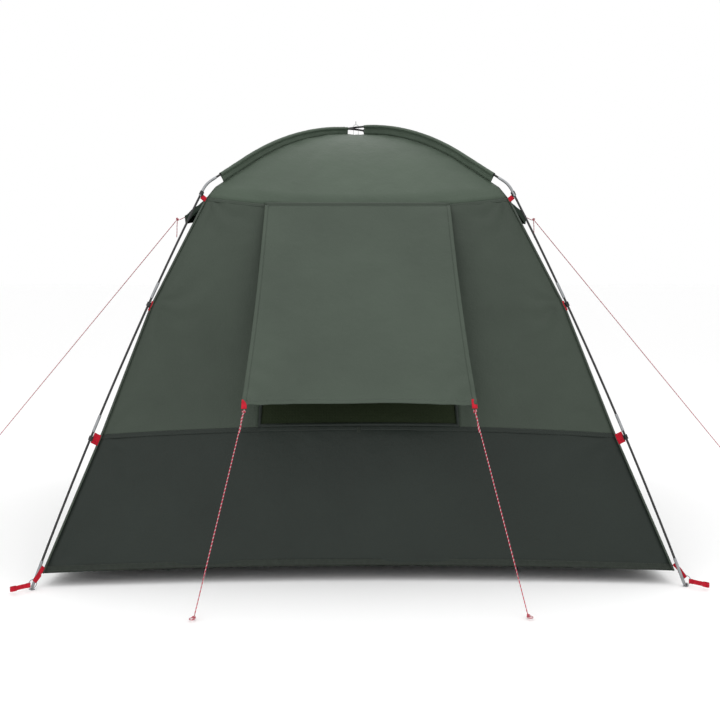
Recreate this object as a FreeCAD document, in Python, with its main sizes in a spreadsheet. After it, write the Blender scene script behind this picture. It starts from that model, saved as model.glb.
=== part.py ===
import FreeCAD, Part
import math
import os

# Four-legged event shelter: two crossing poles over a square fabric tower.
# Millimetres. +Z up, the ground is Z = 0, the front wall with the window faces -Y.
# The origin is the centre of the base.

V = FreeCAD.Vector
Z_AXIS = V(0, 0, 1)
ROOT2 = math.sqrt(2)

doc = FreeCAD.newDocument("event_shelter")
sheet = doc.addObject("Spreadsheet::Sheet", "sizes")

SIZES = [
    ("base_half", 1500),
    ("crown_height", 2250),
    ("crossing_gap", 12),
    ("corner_reach", 1090),
    ("corner_height", 1882),
    ("roof_slope", 29),
    ("leg_slope", 58),
    ("pole_dia", 11),
    ("pole_bore", 6),
    ("cord_dia", 3),
    ("steel_dia", 14),
    ("steel_bore", 11.4),
    ("elbow_bend", 150),
    ("elbow_stub", 35),
    ("ferrule_len", 85),
    ("foot_len", 125),
    ("foot_gap", 9),
    ("low_joint", 725),
    ("high_joint", 1348),
    ("roof_joint", 550),
    ("clip_low", 659),
    ("clip_mid", 1281),
    ("clip_high", 1834),
    ("clip_bore", 15),
    ("clip_out", 20),
    ("clip_tall", 22),
    ("web_wide", 25),
    ("web_thick", 1.8),
    ("ring_dia", 40),
    ("wire_dia", 3.6),
    ("ring_side", 12),
    ("strap_tall", 21),
    ("strap_thick", 1.6),
    ("fabric", 1.5),
    ("sleeve_bore", 15.6),
    ("sleeve_out", 18),
    ("ridge_drop", 40),
    ("awning_half_top", 472),
    ("awning_half_low", 545),
    ("awning_len", 1138),
    ("awning_lean", 33.9),
    ("hinge_out", 765),
    ("hinge_height", 1775),
    ("rope_dia", 4.5),
]

for row, (alias, value) in enumerate(SIZES, start=1):
    sheet.set(f"A{row}", alias)
    sheet.set(f"B{row}", str(value))
    sheet.setAlias(f"B{row}", alias)
doc.recompute()

CORNERS = {"front_left": 225, "front_right": 315, "back_right": 45, "back_left": 135}
subparts = {}


def size(alias):
    return float(sheet.get(alias))


def sind(angle):
    return math.sin(math.radians(angle))


def cosd(angle):
    return math.cos(math.radians(angle))


def keep(solid, label):
    """Name a finished sub-part; the label names its file."""
    solid.Label = label
    subparts[label] = solid
    return solid


def place(x, y, z, axis=Z_AXIS, angle=0):
    return FreeCAD.Placement(V(x, y, z), FreeCAD.Rotation(axis, angle))


def primitive(kind, placement, **cells):
    """A Part primitive; each size is an expression on the sheet, or a number worked out from it."""
    solid = doc.addObject("Part::" + kind, kind.lower())
    for prop, value in cells.items():
        if isinstance(value, str):
            solid.setExpression(prop, value)
        else:
            setattr(solid, prop, value)
    solid.Placement = placement
    return solid


def fuse(pieces):
    joined = doc.addObject("Part::MultiFuse", "fuse")
    joined.Shapes = pieces
    return joined


def cut(base, tool):
    cutting = doc.addObject("Part::Cut", "cut")
    cutting.Base = base
    cutting.Tool = tool
    return cutting


def group(pieces, label):
    together = doc.addObject("Part::Compound", "group")
    together.Links = pieces
    return keep(together, label)


def turned(solid, angle):
    """Turn a piece drawn in the plane of one diagonal to its own corner."""
    solid.Placement = place(0, 0, 0, Z_AXIS, angle).multiply(solid.Placement)
    return solid


def shaped(shape, label):
    feature = doc.addObject("Part::Feature", label)
    feature.Shape = shape
    return keep(feature, label)


# ---------------------------------------------------------------- pole line
# Points are (reach, height) in the plane of one diagonal.

CORNER = (size("corner_reach"), size("corner_height"))
LEG_DIR = (cosd(size("leg_slope")), -sind(size("leg_slope")))
ROOF_DIR = (-cosd(size("roof_slope")), sind(size("roof_slope")))
INWARD = (-sind(size("leg_slope")), -cosd(size("leg_slope")))
FOOT = (size("base_half") * ROOT2, 0)


def along(point, direction, distance):
    return (point[0] + direction[0] * distance, point[1] + direction[1] * distance)


BEND_TANGENT = size("elbow_bend") * math.tan(math.radians((size("leg_slope") - size("roof_slope")) / 2))
ELBOW_LOW = along(CORNER, LEG_DIR, BEND_TANGENT)
ELBOW_HIGH = along(CORNER, ROOF_DIR, BEND_TANGENT)
ELBOW_CENTRE = along(ELBOW_LOW, INWARD, size("elbow_bend"))
LEG_TOP = along(ELBOW_LOW, LEG_DIR, size("elbow_stub"))
ROOF_END = along(ELBOW_HIGH, ROOF_DIR, size("elbow_stub"))
TO_FOOT = (FOOT[0] - LEG_TOP[0], FOOT[1] - LEG_TOP[1])
LEG_RADIUS = (TO_FOOT[0] ** 2 + TO_FOOT[1] ** 2) / (2 * (TO_FOOT[0] * INWARD[0] + TO_FOOT[1] * INWARD[1]))
LEG_CENTRE = along(LEG_TOP, INWARD, LEG_RADIUS)
LEG_TOP_ANGLE = 90 - size("leg_slope")
FOOT_ANGLE = math.degrees(math.atan2(FOOT[1] - LEG_CENTRE[1], FOOT[0] - LEG_CENTRE[0]))
SPIGOT = size("elbow_stub") - 5


def leg_angle(height):
    """Angle on the leg's arc at a height."""
    return math.degrees(math.asin((height - LEG_CENTRE[1]) / LEG_RADIUS))


def leg_point(height):
    return along(LEG_CENTRE, (cosd(leg_angle(height)), sind(leg_angle(height))), LEG_RADIUS)


def roof_arc(crown):
    """Centre height, radius and end point of the crown arc that meets the straight run from the elbow."""
    slope = math.tan(math.radians(size("roof_slope")))
    half = math.tan(math.radians(size("roof_slope") / 2))
    end = (CORNER[0] * slope - (crown - CORNER[1])) / (slope - half)
    radius = end / sind(size("roof_slope"))
    return crown - radius, radius, (end, crown - end * half)


def bow(centre, radius, start, sweep, thick):
    """A round bar bent to an arc in the diagonal plane."""
    turn = FreeCAD.Rotation(V(1, 0, 0), 90).multiply(FreeCAD.Rotation(Z_AXIS, start))
    spot = FreeCAD.Placement(V(centre[0], 0, centre[1]), turn)
    return primitive("Torus", spot, Radius1=radius, Radius2=thick, Angle1=-180, Angle2=180, Angle3=sweep)


def bar(start, direction, length, thick):
    """A straight round bar in the diagonal plane."""
    tilt = 90 - math.degrees(math.atan2(direction[1], direction[0]))
    spot = place(start[0], 0, start[1], V(0, 1, 0), tilt)
    return primitive("Cylinder", spot, Radius=thick, Height=length)


def bent_tube(centre, radius, start, sweep, outer, inner):
    return cut(bow(centre, radius, start, sweep, outer), bow(centre, radius, start, sweep, inner))


POLE = "sizes.pole_dia / 2"
BORE = "sizes.pole_bore / 2"
STEEL = "sizes.steel_dia / 2"
SOCKET = "sizes.steel_bore / 2"


def degrees_for(length, radius):
    return math.degrees(length / radius)


def make_leg(name, angle):
    """Three hollow glass-fibre sections; the top one has a straight spigot that goes up into the elbow."""
    gap = degrees_for(0.5, LEG_RADIUS)
    start = FOOT_ANGLE + degrees_for(60, LEG_RADIUS)
    ends = [leg_angle(size("low_joint")), leg_angle(size("high_joint"))]
    low = bent_tube(LEG_CENTRE, LEG_RADIUS, start, ends[0] - gap - start, POLE, BORE)
    mid = bent_tube(LEG_CENTRE, LEG_RADIUS, ends[0] + gap, ends[1] - ends[0] - 2 * gap, POLE, BORE)
    top_arc = bow(LEG_CENTRE, LEG_RADIUS, ends[1] + gap, LEG_TOP_ANGLE - ends[1] - gap, POLE)
    top_bore = bow(LEG_CENTRE, LEG_RADIUS, ends[1] + gap, LEG_TOP_ANGLE - ends[1] - gap, BORE)
    up = (-LEG_DIR[0], -LEG_DIR[1])
    outer = fuse([top_arc, bar(LEG_TOP, up, SPIGOT, POLE)])
    inner = fuse([top_bore, bar(LEG_TOP, up, SPIGOT, BORE)])
    return turned(group([low, mid, cut(outer, inner)], "leg_pole_" + name), angle)


def elbow_run(thick):
    """The elbow's line at one thickness: stub, bend, stub."""
    sweep = size("leg_slope") - size("roof_slope")
    up = (-LEG_DIR[0], -LEG_DIR[1])
    low_stub = bar(LEG_TOP, up, size("elbow_stub"), thick)
    bend = bow(ELBOW_CENTRE, size("elbow_bend"), LEG_TOP_ANGLE, sweep, thick)
    high_stub = bar(ELBOW_HIGH, ROOF_DIR, size("elbow_stub"), thick)
    return fuse([low_stub, bend, high_stub])


def make_elbow(name, angle):
    return turned(keep(cut(elbow_run(STEEL), elbow_run(SOCKET)), "elbow_" + name), angle)


def roof_side(crown, thick):
    """Straight run out of the elbow and the crown arc up to the section joint."""
    low, radius, end = roof_arc(crown)
    joint = math.degrees(math.acos(size("roof_joint") / radius))
    start = along(ROOF_END, ROOF_DIR, -SPIGOT)
    straight = bar(start, ROOF_DIR, math.dist(start, end), thick)
    first = 90 - size("roof_slope")
    return fuse([straight, bow((0, low), radius, first, joint - 0.02 - first, thick)])


def make_roof_pole(label, crown, angle):
    low, radius, _ = roof_arc(crown)
    joint = math.degrees(math.acos(size("roof_joint") / radius))
    centre = bent_tube((0, low), radius, joint, 180 - 2 * joint, POLE, BORE)
    near = cut(roof_side(crown, POLE), roof_side(crown, BORE))
    far = turned(cut(roof_side(crown, POLE), roof_side(crown, BORE)), 180)
    return turned(group([centre, near, far], label), angle)


CROWN_A = size("crown_height") - size("crossing_gap") / 2
CROWN_B = size("crown_height") + size("crossing_gap") / 2

for corner, heading in CORNERS.items():
    make_leg(corner, heading)
    make_elbow(corner, heading)
make_roof_pole("roof_pole_a", CROWN_A, CORNERS["back_right"])
make_roof_pole("roof_pole_b", CROWN_B, CORNERS["back_left"])


def leg_ferrule(height, angle):
    half = degrees_for(size("ferrule_len") / 2, LEG_RADIUS)
    middle = leg_angle(height)
    return turned(bent_tube(LEG_CENTRE, LEG_RADIUS, middle - half, 2 * half, STEEL, SOCKET), angle)


def roof_ferrule(crown, angle):
    low, radius, _ = roof_arc(crown)
    half = degrees_for(size("ferrule_len") / 2, radius)
    joint = math.degrees(math.acos(size("roof_joint") / radius))
    return turned(bent_tube((0, low), radius, joint - half, 2 * half, STEEL, SOCKET), angle)


def foot_end(angle):
    start = FOOT_ANGLE + degrees_for(size("foot_gap"), LEG_RADIUS)
    sweep = degrees_for(size("foot_len"), LEG_RADIUS)
    return turned(bent_tube(LEG_CENTRE, LEG_RADIUS, start, sweep, STEEL, SOCKET), angle)


joints = [size("low_joint"), size("high_joint")]
group([leg_ferrule(height, angle) for angle in CORNERS.values() for height in joints], "leg_ferrules")
crowns = {45: CROWN_A, 225: CROWN_A, 135: CROWN_B, 315: CROWN_B}
group([roof_ferrule(crown, angle) for angle, crown in crowns.items()], "roof_ferrules")
group([foot_end(angle) for angle in CORNERS.values()], "foot_ends")


def shock_cord(angle, crown):
    """Elastic cord in the bore, from the foot end to the crown."""
    thick = "sizes.cord_dia / 2"
    low, radius, end = roof_arc(crown)
    up = (-LEG_DIR[0], -LEG_DIR[1])
    start = FOOT_ANGLE + degrees_for(62, LEG_RADIUS)
    first = 90 - size("roof_slope")
    run = [
        bow(LEG_CENTRE, LEG_RADIUS, start, LEG_TOP_ANGLE - start, thick),
        bar(LEG_TOP, up, size("elbow_stub"), thick),
        bow(ELBOW_CENTRE, size("elbow_bend"), LEG_TOP_ANGLE, size("leg_slope") - size("roof_slope"), thick),
        bar(ELBOW_HIGH, ROOF_DIR, math.dist(ELBOW_HIGH, end), thick),
        bow((0, low), radius, first, 90 - first - 0.02, thick),
    ]
    return turned(fuse(run), angle)


group([shock_cord(angle, crown) for angle, crown in crowns.items()], "shock_cords")


# ---------------------------------------------------------------- feet: pin, ring, corner tab and peg strap

FOOT_REACH = FOOT[0]
RING_HEIGHT = 28
EYE_HEIGHT = RING_HEIGHT - size("ring_dia") / 2


def block(x, y, z, length, width, height):
    return primitive("Box", place(x, y, z), Length=length, Width=width, Height=height)


def corner_pin(angle):
    """Flat foot plate with a shaft that goes up into the foot end and a lug whose eye holds the ring."""
    side = size("ring_side")
    plate = block(FOOT_REACH - 9, -8, 0, 18, side + 12.5, 4)
    lug = block(FOOT_REACH - 3, side - 4.5, 0, 6, 9, EYE_HEIGHT + 6)
    eye_spot = place(FOOT_REACH - 5, side, EYE_HEIGHT, V(0, 1, 0), 90)
    eye = primitive("Cylinder", eye_spot, Radius=2.7, Height=10)
    up_the_leg = (-sind(FOOT_ANGLE), cosd(FOOT_ANGLE))
    shaft = bar((FOOT_REACH, 2), up_the_leg, 50, 3)
    return turned(cut(fuse([plate, lug, shaft]), eye), angle)


def ring(angle):
    spot = place(FOOT_REACH, size("ring_side"), RING_HEIGHT, V(1, 0, 0), 90)
    wire = primitive("Torus", spot, Radius1="sizes.ring_dia / 2", Radius2="sizes.wire_dia / 2")
    return turned(wire, angle)


def slot(start, length, half, tall):
    """A flat bar on edge with round ends, along the diagonal from start."""
    middle = block(start, -half, 0, length, 2 * half, tall)
    near = primitive("Cylinder", place(start, 0, 0), Radius=half, Height=tall)
    far = primitive("Cylinder", place(start + length, 0, 0), Radius=half, Height=tall)
    return fuse([middle, near, far])


RING_SLOT = 2.7
PEG_SLOT = 7
STRAP_LOW = 15


def peg_strap(name, angle):
    """Webbing on edge: a loop round the ring, a sewn neck, and an open loop for a peg."""
    tall = size("strap_tall")
    skin = size("strap_thick")
    outer = fuse([slot(0, 14, RING_SLOT + skin, tall), block(14, -skin, 0, 50, 2 * skin, tall),
                  slot(72, 16, PEG_SLOT + skin, tall)])
    inner = fuse([slot(0, 14, RING_SLOT, tall), slot(72, 16, PEG_SLOT, tall)])
    strap = keep(cut(outer, inner), "peg_strap_" + name)
    start = place(FOOT_REACH + size("ring_dia") / 2 - 5, size("ring_side"), STRAP_LOW)
    strap.Placement = place(0, 0, 0, Z_AXIS, angle).multiply(start)


def corner_tab(angle):
    """Webbing loop from the ring's upper inner side up to the fabric's bottom corner."""
    skin = size("strap_thick")
    tall = size("strap_tall")
    loop = cut(slot(0, 34, RING_SLOT + skin, tall), slot(0, 34, RING_SLOT, tall))
    reach = size("ring_dia") / 2 - 5
    spot = V(FOOT_REACH - reach * cosd(45), size("ring_side"), RING_HEIGHT + reach * sind(45))
    tilt = FreeCAD.Rotation(V(0, 1, 0), 45).multiply(FreeCAD.Rotation(Z_AXIS, 180))
    shift = place(0, 0, -tall / 2)
    loop.Placement = place(0, 0, 0, Z_AXIS, angle).multiply(FreeCAD.Placement(spot, tilt)).multiply(shift)
    return loop


group([corner_pin(angle) for angle in CORNERS.values()], "corner_pins")
group([ring(angle) for angle in CORNERS.values()], "corner_rings")
group([corner_tab(angle) for angle in CORNERS.values()], "corner_tabs")
for corner, heading in CORNERS.items():
    peg_strap(corner, heading)


# ---------------------------------------------------------------- fabric walls and roof
# A row is (half width at the corners, height there, inward bow at mid-side, height at mid-side).

EAVE = (768, 1813, 40, 1763)
UPPER = (1016, 1272, 92, 1260)
MIDDLE = (1229, 660, 72, 690)
HEM = (1458, 62, 70, 73)
ROWS = [EAVE, UPPER, MIDDLE, HEM]
CORNER_GAP = 4


def between(one, two, share):
    return tuple(a + (b - a) * share for a, b in zip(one, two))


def row_arc(row, depth):
    """Arc from corner to corner at one row; depth moves it in from the outer face."""
    half, corner_z, inset, middle_z = row
    reach = max(half - CORNER_GAP, 2)
    y = depth - half
    return Part.Arc(V(-reach, y, corner_z), V(0, y + inset, middle_z), V(reach, y, corner_z)).toShape()


def cloth(rows, depth=0, thick=None):
    """A thin solid on the front side: ruled spans between the rows, given thickness inward."""
    inward = V(0, thick or size("fabric"), 0)
    arcs = [row_arc(row, depth) for row in rows]
    spans = [Part.makeRuledSurface(one, two).extrude(inward) for one, two in zip(arcs, arcs[1:])]
    return spans[0].multiFuse(spans[1:]).Solids[0] if len(spans) > 1 else spans[0]


def facing(shape, angle):
    copy = shape.copy()
    copy.rotate(V(0, 0, 0), Z_AXIS, angle)
    return copy


def prism(points):
    """An outline in X and Z run through the front wall."""
    outline = [V(x, -2000, z) for x, z in points]
    face = Part.Face(Part.makePolygon(outline + outline[:1]))
    return face.extrude(V(0, 1900, 0))


def grown(points, margin):
    middle_x = sum(x for x, _ in points) / len(points)
    middle_z = sum(z for _, z in points) / len(points)
    grow_x = [math.copysign(margin, x - middle_x) for x, _ in points]
    grow_z = [math.copysign(margin, z - middle_z) for _, z in points]
    return [(x + dx, z + dz) for (x, z), dx, dz in zip(points, grow_x, grow_z)]


WINDOW = [(-480, 705), (480, 705), (415, 1690), (-415, 1690)]
VENT = [(-330, 1500), (330, 1500), (290, 1700), (-290, 1700)]
DOOR = [(-450, 85), (450, 85), (450, 1600), (-450, 1600)]
LINING = 3

upper_wall = cloth([EAVE, UPPER, MIDDLE])
lower_wall = cloth([MIDDLE, HEM])
lining = cloth([EAVE, UPPER, MIDDLE], LINING)
shaped(upper_wall.cut(prism(WINDOW)), "front_wall_upper")
shaped(lower_wall, "front_wall_lower")
shaped(lining.common(prism(grown(WINDOW, 12))), "window_mesh")
for side, heading in {"right": 90, "left": 270}.items():
    shaped(facing(upper_wall.cut(prism(VENT)), heading), side + "_wall_upper")
    shaped(facing(lower_wall, heading), side + "_wall_lower")
    shaped(facing(lining.common(prism(grown(VENT, 12))), heading), side + "_vent_mesh")

whole_wall = cloth(ROWS)
DOOR_GAP = 5
FAR = 3000
door_hole = grown(DOOR, DOOR_GAP)
edge = door_hole[1][0]
top = door_hole[2][1]


def window_of(left, right, low, high):
    """Prism over an upright rectangle of the front wall."""
    return prism([(left, low), (right, low), (right, high), (left, high)])


# the back wall is drawn at the front and turned half a turn, so its left piece is cut at +X
shaped(facing(whole_wall.common(window_of(edge, FAR, -10, FAR)), 180), "back_wall_left")
shaped(facing(whole_wall.common(window_of(-FAR, -edge, -10, FAR)), 180), "back_wall_right")
shaped(facing(whole_wall.common(window_of(-edge, edge, top, FAR)), 180), "back_wall_header")
shaped(facing(whole_wall.common(prism(DOOR)), 180), "door_panel")

# the zip runs up the wall side of the door's free edge and across its top, on the outside of the cloth
ZIP_OUT = 3.5
ZIP_THICK = 2
ZIP_WIDE = 20
zip_cloth = cloth(ROWS, -ZIP_OUT, ZIP_THICK)
tape_edge = -edge - 2
up_tape = zip_cloth.common(window_of(tape_edge - ZIP_WIDE, tape_edge, 90, top + 2 + ZIP_WIDE))
top_tape = zip_cloth.common(window_of(tape_edge, edge - 10, top + 2, top + 2 + ZIP_WIDE))
shaped(facing(up_tape.fuse(top_tape), 180), "door_zip")


def ridge_row(reach):
    """Roof row at a reach along the diagonal: a set drop below the pole line."""
    low, radius, end = roof_arc(size("crown_height"))
    drop = size("ridge_drop")
    if reach <= end[0]:
        height = low + math.sqrt((radius - drop) ** 2 - reach ** 2)
    else:
        slope = math.tan(math.radians(size("roof_slope")))
        height = CORNER[1] + (CORNER[0] - reach) * slope - drop / cosd(size("roof_slope"))
    share = (reach / (EAVE[0] * ROOT2)) ** 2
    return (reach / ROOT2, height, EAVE[2] * share, height - share * 48)


ROOF_REACHES = [9, 300, 550, 790, 1030]
EAVE_GAP = 2
roof_edge = (EAVE[0], EAVE[1] + EAVE_GAP, EAVE[2], EAVE[3] + EAVE_GAP)
roof = cloth([ridge_row(reach) for reach in ROOF_REACHES] + [roof_edge])
for side, heading in {"front": 0, "right": 90, "back": 180, "left": 270}.items():
    shaped(facing(roof, heading), "roof_panel_" + side)


def hem_tape(angle):
    low = between(MIDDLE, HEM, 0.999)
    high = between(MIDDLE, HEM, 0.95)
    return facing(cloth([high, low], -2, 1.6), angle)


shaped(Part.makeCompound([hem_tape(angle) for angle in (0, 90, 270)]), "hem_tape")


def seam(angle):
    """A round bead up one corner of the tower, where two walls meet."""
    points = [V(row[0] * ROOT2, 0, row[1]) for row in (EAVE, UPPER, MIDDLE, HEM)]
    bead = Part.makeSphere(2, points[0])
    for one, two in zip(points, points[1:]):
        bead = bead.fuse(Part.makeCylinder(2, (two - one).Length, one, two - one))
        bead = bead.fuse(Part.makeSphere(2, two))
    return facing(bead, angle)


shaped(Part.makeCompound([seam(angle) for angle in CORNERS.values()]), "corner_seams")


def sleeve_outline(radius, fin):
    """Keyhole outline across the pole at the sleeve's crown end: a tunnel with a flat sewn fin below it."""
    half = 1
    drop = math.sqrt(radius ** 2 - half ** 2)
    arc = Part.Arc(V(0, -half, -drop), V(0, 0, radius), V(0, half, -drop)).toShape()
    corners = [V(0, half, -drop), V(0, half, -fin), V(0, -half, -fin), V(0, -half, -drop)]
    return Part.Wire([arc] + [Part.makeLine(a, b) for a, b in zip(corners, corners[1:])])


def make_sleeve(name, angle, crown):
    low, radius, end = roof_arc(crown)
    first = math.degrees(math.asin(70 / radius))
    last = size("roof_slope")
    half = (first + last) / 2
    points = [V(radius * sind(a), 0, low + radius * cosd(a)) for a in (first, half, last)]
    finish = V(1000, 0, end[1] - (1000 - end[0]) * math.tan(math.radians(last)))
    path = Part.Wire([Part.Arc(*points).toShape(), Part.makeLine(points[2], finish)])
    spot = FreeCAD.Placement(points[0], FreeCAD.Rotation(V(0, 1, 0), first))
    outer = sleeve_outline(size("sleeve_out") / 2, size("ridge_drop") - 3)
    inner = Part.Wire([Part.Circle(V(0, 0, 0), V(1, 0, 0), size("sleeve_bore") / 2).toShape()])
    solids = []
    for outline in (outer, inner):
        outline.Placement = spot
        solids.append(path.makePipeShell([outline], True, False))
    shaped(facing(solids[0].cut(solids[1]), angle), "pole_sleeve_" + name)


for corner, heading in CORNERS.items():
    make_sleeve(corner, heading, crowns[heading])


# ---------------------------------------------------------------- clips, webbing and crown tie

def seam_reach(height):
    """Reach of the fabric's corner along the diagonal at a height."""
    for one, two in zip(ROWS, ROWS[1:]):
        if height >= two[1]:
            return (one[0] + (two[0] - one[0]) * (one[1] - height) / (one[1] - two[1])) * ROOT2
    return HEM[0] * ROOT2


PLATE_START = 8.5
CLIP_PLATE = 4
WEB_START = PLATE_START + CLIP_PLATE + 0.3
SEAM_SLOPE = 0.6
SEAM_CLEAR = 3.2


def clip_frame(height, angle):
    """Placement at the pole: X inward across it, Y sideways, Z along it."""
    lean = leg_angle(min(height, LEG_TOP[1]))
    if height > LEG_TOP[1]:
        share = (height - LEG_TOP[1]) / -LEG_DIR[1]
        point = along(LEG_TOP, (-LEG_DIR[0], -LEG_DIR[1]), share)
    else:
        point = leg_point(height)
    turn = FreeCAD.Rotation(V(0, 1, 0), -lean).multiply(FreeCAD.Rotation(Z_AXIS, 180))
    local = FreeCAD.Placement(V(point[0], 0, point[1]), turn)
    return place(0, 0, 0, Z_AXIS, angle).multiply(local), point, lean


def pole_clip(height, angle):
    """Plastic hook: an open ring round the pole and a flat bar that the webbing is sewn to."""
    tall = size("clip_tall")
    ring_body = primitive("Cylinder", place(0, 0, -tall / 2), Radius="sizes.clip_out / 2", Height=tall)
    plate = block(PLATE_START, -3, -12, CLIP_PLATE, 6, 24)
    hole = primitive("Cylinder", place(0, 0, -20), Radius="sizes.clip_bore / 2", Height=40)
    mouth = block(-20, 2, -20, 22, 14, 40)
    hook = cut(fuse([ring_body, plate]), fuse([hole, mouth]))
    hook.Placement = clip_frame(height, angle)[0]
    return hook


def webbing(height, angle):
    """Strip from the clip's plate to just short of the corner seam."""
    spot, point, lean = clip_frame(height, angle)
    spread = point[0] - seam_reach(point[1])
    reach = spread / (cosd(lean) + sind(lean) * SEAM_SLOPE) - SEAM_CLEAR
    thick = size("web_thick")
    wide = size("web_wide")
    strap = block(0, 0, 0, reach - WEB_START, thick, wide)
    strap.Placement = spot.multiply(place(WEB_START, -thick / 2, -wide / 2))
    return strap


levels = [size("clip_low"), size("clip_mid"), size("clip_high")]
group([pole_clip(height, angle) for angle in CORNERS.values() for height in levels], "pole_clips")
group([webbing(height, angle) for angle in CORNERS.values() for height in levels], "clip_webbings")


def crown_tie():
    """Tape up both sides of the crossing, joined over it and sewn to a short stub."""
    low = size("crown_height") - size("ridge_drop") + 4
    bridge = size("crown_height") + 20
    legs = [block(x, -5.5, low, 1.5, 11, bridge - low + 1.5) for x in (-15, 13.5)]
    across = block(-15, -5.5, bridge, 30, 11, 1.5)
    stub = block(-1.6, -5.5, bridge, 3.2, 11, 18)
    keep(fuse(legs + [across, stub]), "crown_tie")


crown_tie()


# ---------------------------------------------------------------- awning over the window

HINGE = V(0, -size("hinge_out"), size("hinge_height"))
LEAN = size("awning_lean")
DOWN = V(0, -sind(LEAN), -cosd(LEAN))


def awning_panel():
    """Flat cloth that hangs from the hinge line at the top of the window."""
    top_half = size("awning_half_top")
    low_half = size("awning_half_low")
    length = size("awning_len")
    outline = [V(-top_half, 0, -12), V(top_half, 0, -12), V(low_half, 0, -length), V(-low_half, 0, -length)]
    panel = Part.Face(Part.makePolygon(outline + outline[:1])).extrude(V(0, size("fabric"), 0))
    feature = shaped(panel, "awning")
    feature.Placement = FreeCAD.Placement(HINGE, FreeCAD.Rotation(V(1, 0, 0), -LEAN))


TAB_LONG = 34


def awning_tab(side):
    tab = block(0, 0, 0, 25, 2, TAB_LONG)
    spot = FreeCAD.Placement(HINGE, FreeCAD.Rotation(V(1, 0, 0), -LEAN))
    x = side * (size("awning_half_low") - 14) - 12.5
    tab.Placement = spot.multiply(place(x, -2.5, -size("awning_len") - TAB_LONG + 12))
    return tab


awning_panel()
group([awning_tab(-1), awning_tab(1)], "awning_tabs")
window_tab = block(-9, -1150, 668, 18, 2, 23)
keep(window_tab, "window_tab")


# ---------------------------------------------------------------- side visors

VISOR_TIP = V(0, -988, 1752)
VISOR_LIP = 50


def plate(points, thick):
    """A flat cloth facet given thickness downward."""
    face = Part.Face(Part.makePolygon(points + points[:1]))
    return face.extrude(thick)


def visor(angle):
    """Peaked hood over the vent: two facets from the eave to the tip and a turned-down lip."""
    thick = V(0, 0, -size("fabric"))
    root = V(0, -748, 1768)
    pieces = []
    for side in (-1, 1):
        corner = V(side * 735, -776, 1806)
        lip = [corner, VISOR_TIP, VISOR_TIP - V(0, 0, VISOR_LIP), corner - V(0, 0, VISOR_LIP * 0.3)]
        pieces.append(plate([corner, VISOR_TIP, root], thick))
        pieces.append(plate(lip, V(0, size("fabric"), 0)))
    hood = pieces[0]
    for piece in pieces[1:]:
        hood = hood.fuse(piece)
    return facing(hood, angle)


def visor_tab(angle):
    tab = Part.makeBox(25, 32, 2, V(-12.5, VISOR_TIP.y - 33, VISOR_TIP.z - 14))
    return facing(tab, angle)


for side, heading in {"right": 90, "left": 270}.items():
    shaped(visor(heading), "visor_" + side)
shaped(Part.makeCompound([visor_tab(90), visor_tab(270)]), "visor_tabs")


# ---------------------------------------------------------------- door slider and ropes

ZIP_LOW = (1380.8, 120)
ZIP_HIGH = (884.7, 1424)
SLIDER_OUT = 6.6


def zip_slider():
    """Slider with a pull, at the foot of its straight line beside the door's free edge."""
    lean = math.degrees(math.atan2(ZIP_LOW[0] - ZIP_HIGH[0], ZIP_HIGH[1] - ZIP_LOW[1]))
    body = fuse([block(-7, 0, -9, 14, 6, 18), block(-3, 6, -24, 6, 2, 28)])
    turn = FreeCAD.Rotation(V(1, 0, 0), lean)
    body.Placement = FreeCAD.Placement(V(edge + 12, ZIP_LOW[0] + SLIDER_OUT, ZIP_LOW[1]), turn)
    keep(body, "zip_slider")


zip_slider()


def rope(label, knot, ground, tail):
    """One guy rope: knot at the tab, straight run to the ground, knot, peg loop and a short tail."""
    radius = size("rope_dia") / 2
    run = ground - knot
    solid = Part.makeCylinder(radius, run.Length, knot, run)
    solid = solid.fuse(Part.makeSphere(7, knot)).fuse(Part.makeSphere(7, ground))
    solid = solid.fuse(Part.makeCylinder(radius, tail.Length, knot, tail))
    outward = V(run.x, run.y, 0).normalize()
    loop = Part.makeTorus(14, radius, ground + outward * 17, Z_AXIS)
    shaped(solid.fuse(loop), label)


KNOT_DROP = size("awning_len") + TAB_LONG - 12 + 9
for side, sign in {"left": -1, "right": 1}.items():
    knot = HINGE + DOWN * KNOT_DROP + V(sign * (size("awning_half_low") - 14), 0, 0)
    rope("awning_guy_" + side, knot, V(sign * 700, -1945, 10), V(sign * 22, 0, -100))
    rope("side_guy_" + side, V(sign * 1030, 0, 1732), V(sign * 2480, 0, 10), V(sign * 6, 0, -105))


# ---------------------------------------------------------------- checks and files

doc.recompute()
for obj in doc.Objects:
    if "Invalid" in obj.State or "Error" in obj.State:
        raise RuntimeError(f"{obj.Name} ({obj.Label}) failed: {obj.State}")

os.makedirs("parts", exist_ok=True)
for label, solid in subparts.items():
    shape = solid.Shape
    if shape.isNull() or not shape.isValid() or not shape.Solids:
        raise RuntimeError(label + " has no valid solid")
    shape.exportStep(f"parts/{label}.step")
    box = shape.BoundBox
    print(label, len(shape.Solids), "solids", round(shape.Volume), [round(n) for n in (
        box.XMin, box.XMax, box.YMin, box.YMax, box.ZMin, box.ZMax)])
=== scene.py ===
import math

import bpy
from mathutils import Euler, Matrix, Vector, noise


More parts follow.
